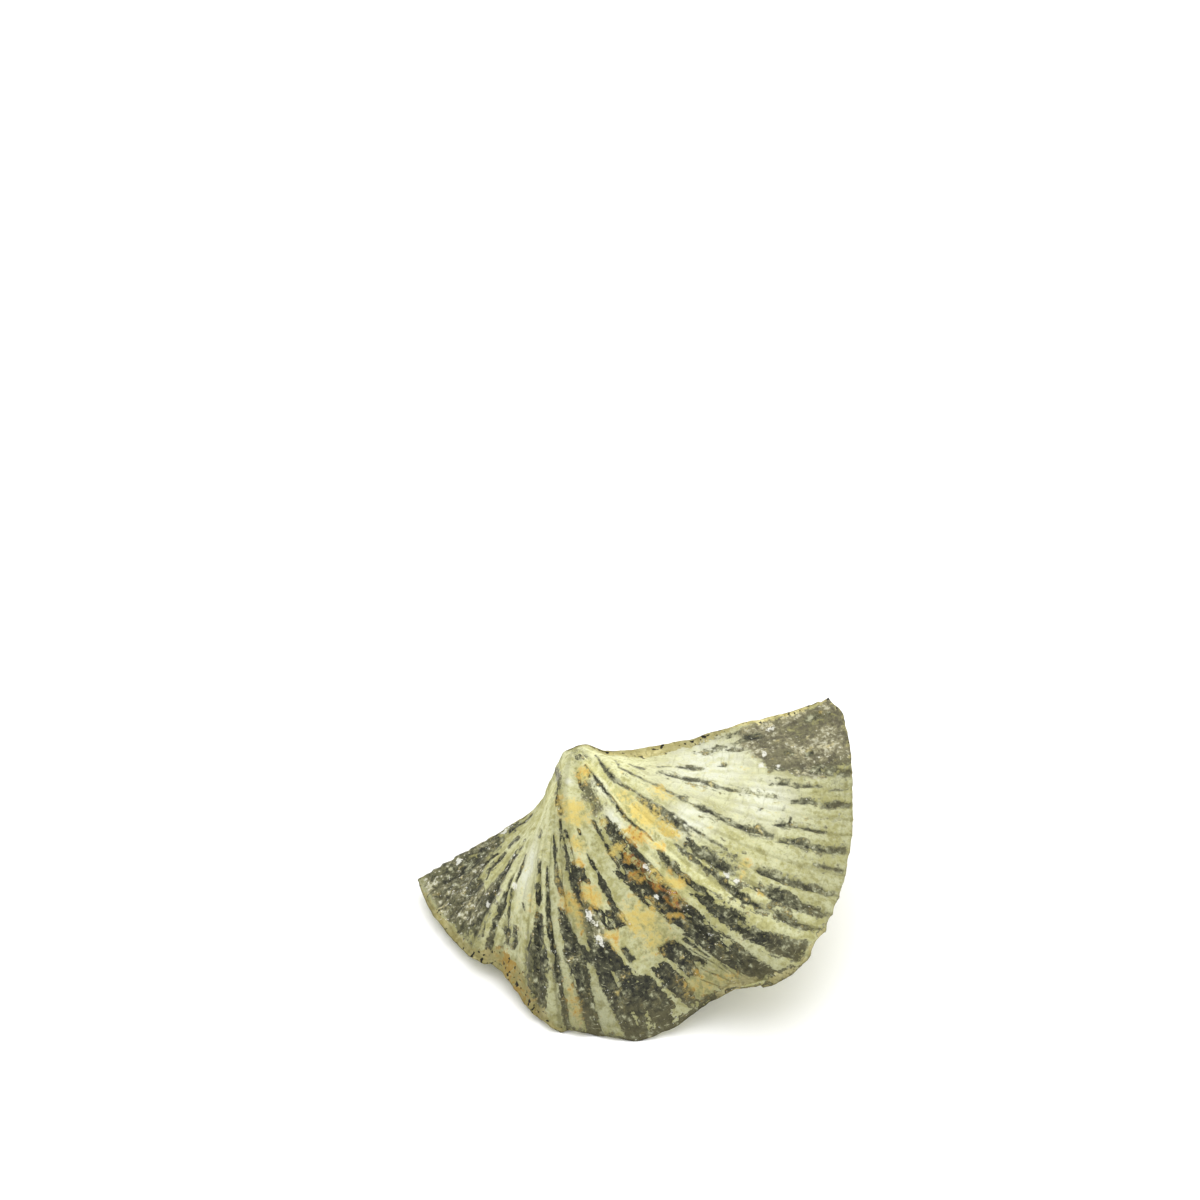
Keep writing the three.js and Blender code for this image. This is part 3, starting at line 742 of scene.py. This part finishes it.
# width of a rib in mm, and how deep its grooves are
ahead = through(GROOVES, range(groove_count), rib + PITCH_STEP)
behind = through(GROOVES, range(groove_count), rib - PITCH_STEP)
pitch = MARGIN_LENGTH * age / np.maximum(np.abs(ahead - behind) / (2 * PITCH_STEP), 1)
furrow = np.clip(through(RIB_AT, RIB_HEIGHT, rib) / FULL_RIB, 0, 1) * smoothstep(age, *FURROW_AGE)

# pale and dark parts of the stone, partly its own tone and partly painted light and shade, and the light rim
# of the right ear
tone = through(TONE_RIB, RIB_TONE_AND_SHADE, rib) * through(TONE_AGE, AGE_TONE_AND_SHADE, age)
ear_rim = smoothstep(rib, *EAR_RIM_RIB) * smoothstep(age, *EAR_RIM_AGE)
tone = np.where(shown, tone * (1 + EAR_RIM_GAIN * ear_rim), HIDDEN_TONE)

# bare rock: the rim along the hinge, a thin line at the front margin, and the underside
hinge_rim = through(HINGE_RIM_AGE, HINGE_RIM, age) - (1 - rib) * MARGIN_LENGTH * age
front_rim = through(FRONT_RIM_AT, FRONT_RIM, rib) - (1 - age) * GROWTH_SPAN
rock = np.where(shown, np.maximum(hinge_rim, front_rim), ALL_ROCK)
high, by_rib, start = UNDERSIDE_WAVE
underside = high * np.sin(by_rib * rib + start) + UNDERSIDE_ROCK
underside -= UNDERSIDE_SHELL * smoothstep(age, *UNDERSIDE_SHELL_AGE)
rock = np.where(below, underside, rock)
rust = smoothstep(rib, *RUST_FROM_LEFT) * smoothstep(1 - rib, *RUST_FROM_RIGHT)
more_pits = (1 - FEWEST_PITS) * smoothstep(np.abs(rib - FEWEST_PITS_AT), *PITS_GROW)
pitted = np.where(shown, FEWEST_PITS + more_pits, HIDDEN_PITS)

marks = {
    "rib": rib,
    "age": age,
    "dark": dark,
    "fray": fray,
    "brown": brown,
    "stain": stain * shown,
    "orange": orange,
    "crystal": spots_cover(CRYSTAL_GLINTS, CRYSTAL_REACH, rib, age) * shown,
    "pale": spots_cover(PALE, PALE_REACH, rib, age) * shown,
    "rock": rock,
    "rust": rust * shown,
    "pitted": pitted,
    "phase": rib_phase,
    "pitch": pitch,
    "furrow": furrow,
    "smoky": through(SMOKE_AT, SMOKE, rib),
    "tone": tone,
}
for name, values in marks.items():
    attribute = mesh.attributes.new(name, "FLOAT", "POINT")
    attribute.data.foreach_set("value", np.ascontiguousarray(values, dtype=np.float32))


# ---------------------------------------------------------------- material
class Paint:
    """A material, with short calls for the nodes that it is made of."""

    def __init__(self, name):
        self.material = bpy.data.materials.new(name)
        self.material.use_nodes = True
        self.nodes = self.material.node_tree.nodes
        self.links = self.material.node_tree.links
        self.shader = self.nodes["Principled BSDF"]

    def put(self, socket, value):
        if isinstance(value, bpy.types.NodeSocket):
            self.links.new(value, socket)
        else:
            socket.default_value = value

    def attribute(self, name):
        node = self.nodes.new("ShaderNodeAttribute")
        node.attribute_name = name
        return node.outputs["Fac"]

    def math(self, kind, a, b=0.0):
        node = self.nodes.new("ShaderNodeMath")
        node.operation = kind
        self.put(node.inputs[0], a)
        self.put(node.inputs[1], b)
        return node.outputs[0]

    def times(self, a, b):
        return self.math("MULTIPLY", a, b)

    def less(self, a, b):
        return self.math("SUBTRACT", a, b)

    def add(self, first, *rest):
        for other in rest:
            first = self.math("ADD", first, other)
        return first

    def around(self, pattern, gain):
        """A noise centred on 0 and made stronger."""
        return self.times(self.less(pattern, 0.5), gain)

    def ramp(self, value, low, high, to_low=0.0, to_high=1.0):
        """An easy step from one number to another as the value goes from low to high."""
        node = self.nodes.new("ShaderNodeMapRange")
        node.interpolation_type = "SMOOTHSTEP"
        self.put(node.inputs["Value"], value)
        for key, number in (("From Min", low), ("From Max", high), ("To Min", to_low), ("To Max", to_high)):
            self.put(node.inputs[key], number)
        return node.outputs["Result"]

    def mix(self, factor, a, b):
        """Colour a where the factor is 0 and b where it is 1; the node's colour sockets are 6, 7 and 2."""
        node = self.nodes.new("ShaderNodeMix")
        node.data_type = "RGBA"
        self.put(node.inputs[0], factor)
        self.put(node.inputs[6], a)
        self.put(node.inputs[7], b)
        return node.outputs[2]

    def scaled(self, colour, gain):
        node = self.nodes.new("ShaderNodeVectorMath")
        node.operation = "SCALE"
        self.put(node.inputs[0], colour)
        self.put(node.inputs["Scale"], gain)
        return node.outputs[0]

    def shifted(self, vector, distance):
        node = self.nodes.new("ShaderNodeVectorMath")
        node.operation = "ADD"
        self.put(node.inputs[0], vector)
        node.inputs[1].default_value = (distance, distance, distance)
        return node.outputs[0]

    def noise(self, vector, scale, detail, rough):
        node = self.nodes.new("ShaderNodeTexNoise")
        self.put(node.inputs["Vector"], vector)
        self.put(node.inputs["Scale"], scale)
        self.put(node.inputs["Detail"], detail)
        self.put(node.inputs["Roughness"], rough)
        return node.outputs["Fac"]

    def grown(self, skin, ribs, rings, layer, detail, rough):
        """Noise that follows the growth: so many waves round the ribs and from beak to margin."""
        node = self.nodes.new("ShaderNodeCombineXYZ")
        across = self.times(skin.rib, ribs)
        along = self.times(skin.age, rings)
        for socket, value in zip(node.inputs, (across, along, layer)):
            self.put(socket, value)
        return self.noise(node.outputs[0], 1.0, detail, rough)


def srgb(red, green, blue):
    linear = [((c / 255 + 0.055) / 1.055) ** 2.4 if c > 10 else c / 255 / 12.92 for c in (red, green, blue)]
    return (*linear, 1.0)


# Noise scales, waves per metre.
COARSE = 420
MIDDLE = 1300
PORES = 2300
SMALL = 2900
GRAIN = 7000

CREAM = srgb(206, 207, 164)
DULL_CREAM = srgb(178, 175, 118)
OLIVE_BLOTCH = srgb(152, 148, 96)
OLIVE_SPECK = srgb(130, 128, 84)
PALE_SPECK = srgb(216, 217, 186)
CHALK = srgb(222, 224, 203)
RING_OLIVE = srgb(138, 134, 88)
# painted shade for the bottoms of the grooves
GROOVE_SHADE_OLIVE = srgb(120, 117, 76)

BLACK_SHELL = srgb(12, 14, 6)
DARK_SHELL = srgb(42, 43, 26)
GREY_SHELL = srgb(72, 72, 51)
OLIVE_SHELL = srgb(92, 87, 56)
SMOKE_GREY = srgb(112, 112, 84)
PALE_CLOUD = srgb(176, 177, 145)
PALE_DASH = srgb(158, 157, 124)

EAR_DARK = srgb(28, 29, 15)
EAR_GREY = srgb(98, 97, 66)
EAR_BEIGE = srgb(138, 134, 100)
EAR_PALE = srgb(196, 195, 168)
EAR_SPECK = srgb(34, 34, 22)
# painted shade for the grooves of the ears
EAR_GROOVE_SHADE = srgb(44, 44, 30)
EAR_WARM = srgb(156, 146, 116)

STAIN_YELLOW = srgb(214, 193, 108)
STAIN_OCHRE = srgb(196, 149, 58)
STAIN_RUST = srgb(156, 98, 38)

ROCK_OLIVE = srgb(172, 160, 98)
ROCK_PALE = srgb(206, 198, 142)
ROCK_BLOTCH = srgb(146, 140, 92)
ROCK_RING = srgb(124, 118, 74)
ROCK_RUST = srgb(166, 132, 54)
PORE_BLACK = srgb(24, 22, 14)

# painted highlight: the white of the glints and of the crystal streaks
GLINT = srgb(226, 226, 214)


def shell_skin(paint):
    """What all of the colours share: the marks on the mesh, and the noises."""
    skin = SimpleNamespace(**{name: paint.attribute(name) for name in marks})
    coords = paint.nodes.new("ShaderNodeTexCoord").outputs["Object"]
    skin.coarse = paint.noise(coords, COARSE, 4, 0.6)
    skin.middle = paint.noise(coords, MIDDLE, 4, 0.6)
    skin.small = paint.noise(coords, SMALL, 3, 0.6)
    skin.grain = paint.noise(coords, GRAIN, 3, 0.6)
    skin.cloudy = paint.noise(paint.shifted(coords, 0.031), MIDDLE, 4, 0.62)
    skin.pores = paint.noise(paint.shifted(coords, 0.017), PORES, 1, 0.4)
    skin.streaky = paint.grown(skin, 90.0, 15.0, 5.0, 5, 0.65)
    skin.stripes = paint.grown(skin, 260.0, 9.0, 0.0, 3, 0.6)
    skin.rings = paint.grown(skin, 16.0, 75.0, 3.0, 3, 0.6)
    skin.dashes = paint.grown(skin, 75.0, 190.0, 6.0, 2, 0.5)
    skin.worn = paint.grown(skin, 48.0, 11.0, 8.0, 3, 0.55)
    skin.ragged = paint.add(
        paint.around(skin.middle, 3.0), paint.around(skin.small, 2.0), paint.around(skin.streaky, 1.6)
    )
    return skin


def shade_in_grooves(paint, skin):
    """Painted shade: a thin dark line along the bottom of each groove, strongest where the ribs are high."""
    off_line = paint.math("ABSOLUTE", paint.less(skin.phase, paint.math("ROUND", skin.phase)))
    gap = paint.add(paint.times(off_line, skin.pitch), paint.around(skin.middle, 0.5))
    return paint.times(paint.ramp(gap, 0.06, 0.24, 1.0, 0.0), skin.furrow)


def dark_cover(paint, skin):
    """Where the dark shell is left: its streaks, frayed at the edges and worn through in patches."""
    worn = paint.ramp(paint.add(skin.worn, paint.times(skin.smoky, 0.1)), 0.56, 0.66)
    worn = paint.times(paint.times(worn, 0.42), paint.ramp(skin.fray, 0.2, 0.5, 0.1, 1.0))
    frayed = paint.times(skin.ragged, skin.fray)
    edge = paint.add(paint.math("MINIMUM", skin.dark, 0.42), frayed, paint.around(skin.grain, 0.1))
    blur = paint.times(paint.times(skin.smoky, skin.fray), 0.34)
    return paint.ramp(paint.less(edge, worn), paint.less(-0.05, blur), paint.add(0.08, blur))


def brown_cover(paint, skin):
    """Where worn brown-grey shell is left, with broad ragged edges."""
    edge = paint.add(
        paint.math("MINIMUM", skin.brown, 0.7), paint.times(skin.ragged, 0.8), paint.around(skin.coarse, 4.5)
    )
    return paint.ramp(edge, -0.4, 0.3)


def stain_cover(paint, skin):
    """Where iron has stained the stone, blotched."""
    blotches = paint.add(
        skin.stain,
        paint.around(skin.middle, 2.2),
        paint.around(skin.coarse, 1.2),
        paint.around(skin.small, 1.8),
        paint.around(skin.streaky, 1.0),
    )
    return paint.ramp(blotches, 0.25, 1.2, 0.0, 0.92)


def rock_cover(paint, skin):
    """Where bare rock shows in place of shell."""
    return paint.ramp(paint.add(skin.rock, paint.times(skin.ragged, 0.55)), -0.05, 0.15)


def glint_cover(paint, skin, old_shell):
    """Painted highlight: tiny white glints in the old shell, most on the left ear, and some larger bright
    streaks, partly white crystal and partly painted highlight.
    """
    ear_glints = paint.ramp(skin.rib, 0.12, 0.2, 0.055, 0.0)
    seeds = paint.add(skin.small, paint.times(skin.grain, 0.6), paint.around(skin.coarse, 0.35), ear_glints)
    glints = paint.times(paint.ramp(seeds, 1.02, 1.08), paint.times(old_shell, 0.8))
    crystal = paint.add(
        skin.crystal,
        paint.around(skin.small, 2.0),
        paint.around(skin.middle, 1.2),
        paint.around(skin.grain, 1.0),
    )
    return paint.math("MAXIMUM", glints, paint.times(paint.ramp(crystal, 0.55, 0.9), 0.85))


def cream_stone(paint, skin, groove_shade):
    broad = paint.add(paint.around(skin.coarse, 1.0), skin.middle)
    cream = paint.mix(paint.ramp(broad, 0.3, 0.7), DULL_CREAM, CREAM)
    cream = paint.mix(paint.ramp(skin.middle, 0.36, 0.46, 0.5, 0.0), cream, OLIVE_BLOTCH)
    cream = paint.mix(paint.ramp(skin.small, 0.34, 0.44, 0.35, 0.0), cream, OLIVE_SPECK)
    cream = paint.mix(paint.ramp(skin.small, 0.54, 0.66, 0.0, 0.35), cream, PALE_SPECK)
    chalky = paint.times(skin.pale, paint.ramp(skin.middle, 0.4, 0.62, 0.9, 0.3))
    cream = paint.mix(chalky, cream, CHALK)
    cream = paint.mix(paint.ramp(skin.rings, 0.34, 0.44, 0.25, 0.0), cream, RING_OLIVE)
    # painted shade along the bottoms of the grooves
    cream = paint.mix(paint.times(groove_shade, 0.5), cream, GROOVE_SHADE_OLIVE)
    return paint.scaled(cream, skin.tone)


def dark_shell(paint, skin):
    dark = paint.mix(paint.ramp(skin.small, 0.4, 0.6), BLACK_SHELL, DARK_SHELL)
    dark = paint.mix(paint.ramp(skin.middle, 0.44, 0.64, 0.0, 0.65), dark, GREY_SHELL)
    near_margin = paint.ramp(paint.add(skin.age, paint.around(skin.middle, 0.3)), 0.84, 0.97)
    dark = paint.mix(paint.times(near_margin, 0.55), dark, OLIVE_SHELL)
    smoke = paint.add(
        paint.times(skin.streaky, 0.4), paint.times(skin.cloudy, 0.6), paint.times(skin.smoky, 0.1)
    )
    dark = paint.mix(paint.ramp(smoke, 0.51, 0.64, 0.0, 0.8), dark, SMOKE_GREY)
    cloud = paint.add(
        paint.times(skin.streaky, 0.25),
        paint.times(skin.cloudy, 0.6),
        paint.times(skin.small, 0.15),
        paint.times(skin.smoky, 0.06),
    )
    dark = paint.mix(paint.ramp(cloud, 0.57, 0.66, 0.0, 0.85), dark, PALE_CLOUD)
    dashes = paint.add(skin.dashes, paint.around(skin.middle, 0.3))
    return paint.mix(paint.ramp(dashes, 0.62, 0.72, 0.0, 0.6), dark, PALE_DASH)


def brown_shell(paint, skin, groove_shade):
    brown = paint.mix(paint.ramp(skin.middle, 0.36, 0.56), EAR_DARK, EAR_GREY)
    brown = paint.mix(paint.ramp(skin.coarse, 0.46, 0.6, 0.0, 0.8), brown, EAR_BEIGE)
    pale = paint.add(skin.small, paint.around(skin.coarse, 0.9))
    brown = paint.mix(paint.ramp(pale, 0.57, 0.68, 0.0, 0.75), brown, EAR_PALE)
    brown = paint.mix(paint.ramp(skin.small, 0.36, 0.46, 0.7, 0.0), brown, EAR_SPECK)
    # painted shade along the bottoms of the grooves
    brown = paint.mix(paint.times(groove_shade, 0.8), brown, EAR_GROOVE_SHADE)
    return paint.mix(paint.ramp(skin.rib, 0.84, 0.92, 0.0, 0.2), brown, EAR_WARM)


def iron_stain(paint, skin):
    ochre = paint.add(skin.orange, paint.around(skin.middle, 1.8), paint.around(skin.small, 1.4))
    stain = paint.mix(paint.ramp(ochre, 0.25, 1.15), STAIN_YELLOW, STAIN_OCHRE)
    rusty = paint.add(skin.orange, paint.around(skin.small, 2.0))
    stain = paint.mix(paint.ramp(rusty, 0.75, 1.1), stain, STAIN_RUST)
    return paint.scaled(stain, skin.tone)


def bare_rock(paint, skin):
    rock = paint.mix(paint.ramp(skin.middle, 0.38, 0.62), ROCK_OLIVE, ROCK_PALE)
    rock = paint.mix(paint.ramp(skin.coarse, 0.44, 0.6, 0.55, 0.0), rock, ROCK_BLOTCH)
    rock = paint.mix(paint.ramp(skin.rings, 0.34, 0.46, 0.45, 0.0), rock, ROCK_RING)
    rusty = paint.add(skin.middle, paint.around(skin.coarse, 1.2), paint.around(skin.small, 0.6))
    rusty = paint.times(skin.rust, paint.ramp(rusty, 0.4, 0.62, 0.0, 0.85))
    rock = paint.mix(rusty, rock, ROCK_RUST)
    pits = paint.times(skin.pitted, paint.ramp(skin.pores, 0.61, 0.67))
    rock = paint.mix(pits, rock, PORE_BLACK)
    return paint.scaled(rock, skin.tone)


def fine_relief(paint, skin, dark):
    """Normal of the finest relief: grain, growth rings and stripes, lower on the dark shell."""
    height = paint.add(
        paint.times(skin.small, 1.8),
        paint.times(skin.grain, 0.35),
        paint.times(skin.rings, 0.9),
        paint.times(skin.stripes, 0.7),
    )
    node = paint.nodes.new("ShaderNodeBump")
    node.inputs["Strength"].default_value = 0.8
    node.inputs["Distance"].default_value = 0.16 * MM
    paint.put(node.inputs["Height"], paint.less(height, paint.times(dark, 0.8)))
    return node.outputs["Normal"]


def fossil_stone():
    paint = Paint("fossil_stone")
    skin = shell_skin(paint)
    groove_shade = shade_in_grooves(paint, skin)
    dark = dark_cover(paint, skin)
    brown = brown_cover(paint, skin)
    old_shell = paint.math("MAXIMUM", dark, brown)
    glint = glint_cover(paint, skin, old_shell)

    colour = paint.mix(brown, cream_stone(paint, skin, groove_shade), brown_shell(paint, skin, groove_shade))
    colour = paint.mix(dark, colour, dark_shell(paint, skin))
    colour = paint.mix(stain_cover(paint, skin), colour, iron_stain(paint, skin))
    colour = paint.mix(rock_cover(paint, skin), colour, bare_rock(paint, skin))
    # painted highlights: the glints and the crystal streaks
    colour = paint.mix(glint, colour, GLINT)

    rough = paint.less(paint.ramp(old_shell, 0.0, 1.0, 0.82, 0.5), paint.times(glint, 0.25))
    paint.put(paint.shader.inputs["Base Color"], colour)
    paint.put(paint.shader.inputs["Roughness"], rough)
    paint.put(paint.shader.inputs["Specular IOR Level"], 0.3)
    paint.put(paint.shader.inputs["Normal"], fine_relief(paint, skin, dark))
    return paint.material


mesh.materials.append(fossil_stone())

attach(shell, "root")
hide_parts("brachiopod_fossil")

# ---------------------------------------------------------------- floor, light and camera
FLOOR_REACH = 3.0
FLOOR_WHITE = (0.97, 0.97, 0.96, 1)
SKY_STRENGTH = 0.86

VIEW_ELEVATION = radians(38.9)
VIEW_AZIMUTH = radians(-15)
CAMERA_DISTANCE = 320.0
FOCAL = 105.6
AIM = (0.41, 11.18, 21.61)

# Each square lamp: name, place in metres, side in metres and watts.
LAMPS = (
    ("key", (-0.03, 0.0, 0.47), 0.5, 1.2),
    ("side", (0.2, 0.25, 0.34), 0.45, 0.5),
    ("fill", (0.1, -0.38, 0.13), 0.35, 0.6),
)


def white_floor():
    maker = bmesh.new()
    bmesh.ops.create_grid(maker, x_segments=1, y_segments=1, size=FLOOR_REACH)
    floor_mesh = bpy.data.meshes.new("floor")
    maker.to_mesh(floor_mesh)
    maker.free()
    paint = Paint("paper")
    paint.put(paint.shader.inputs["Base Color"], FLOOR_WHITE)
    paint.put(paint.shader.inputs["Roughness"], 0.9)
    floor_mesh.materials.append(paint.material)
    floor = bpy.data.objects.new("floor", floor_mesh)
    bpy.context.scene.collection.objects.link(floor)


def white_sky():
    world = bpy.data.worlds.new("studio")
    world.use_nodes = True
    sky = world.node_tree.nodes["Background"]
    sky.inputs["Color"].default_value = (1, 1, 1, 1)
    sky.inputs["Strength"].default_value = SKY_STRENGTH
    bpy.context.scene.world = world


def softbox(name, place, size, watts):
    """A square area light that faces the stone."""
    lamp = bpy.data.lights.new(name, "AREA")
    lamp.size = size
    lamp.energy = watts
    box = bpy.data.objects.new(name, lamp)
    box.location = place
    box.rotation_mode = "QUATERNION"
    box.rotation_quaternion = (-Vector(place)).to_track_quat("-Z", "Y")
    bpy.context.scene.collection.objects.link(box)


def place_camera():
    lens = bpy.data.cameras.new("camera")
    lens.lens = FOCAL
    lens.sensor_width = 36
    lens.clip_start = 0.01
    lens.clip_end = 10
    camera = bpy.data.objects.new("camera", lens)
    bpy.context.scene.collection.objects.link(camera)
    level = cos(VIEW_ELEVATION)
    back = Vector((sin(VIEW_AZIMUTH) * level, -cos(VIEW_AZIMUTH) * level, sin(VIEW_ELEVATION)))
    aim = Vector(AIM) + Vector((HINGE_PLACE[0], HINGE_PLACE[1], 0))
    camera.location = (aim + back * CAMERA_DISTANCE) * MM
    camera.rotation_mode = "QUATERNION"
    camera.rotation_quaternion = (-back).to_track_quat("-Z", "Y")
    bpy.context.scene.camera = camera


white_floor()
white_sky()
for lamp in LAMPS:
    softbox(*lamp)
place_camera()
bpy.context.scene.view_settings.view_transform = "Standard"
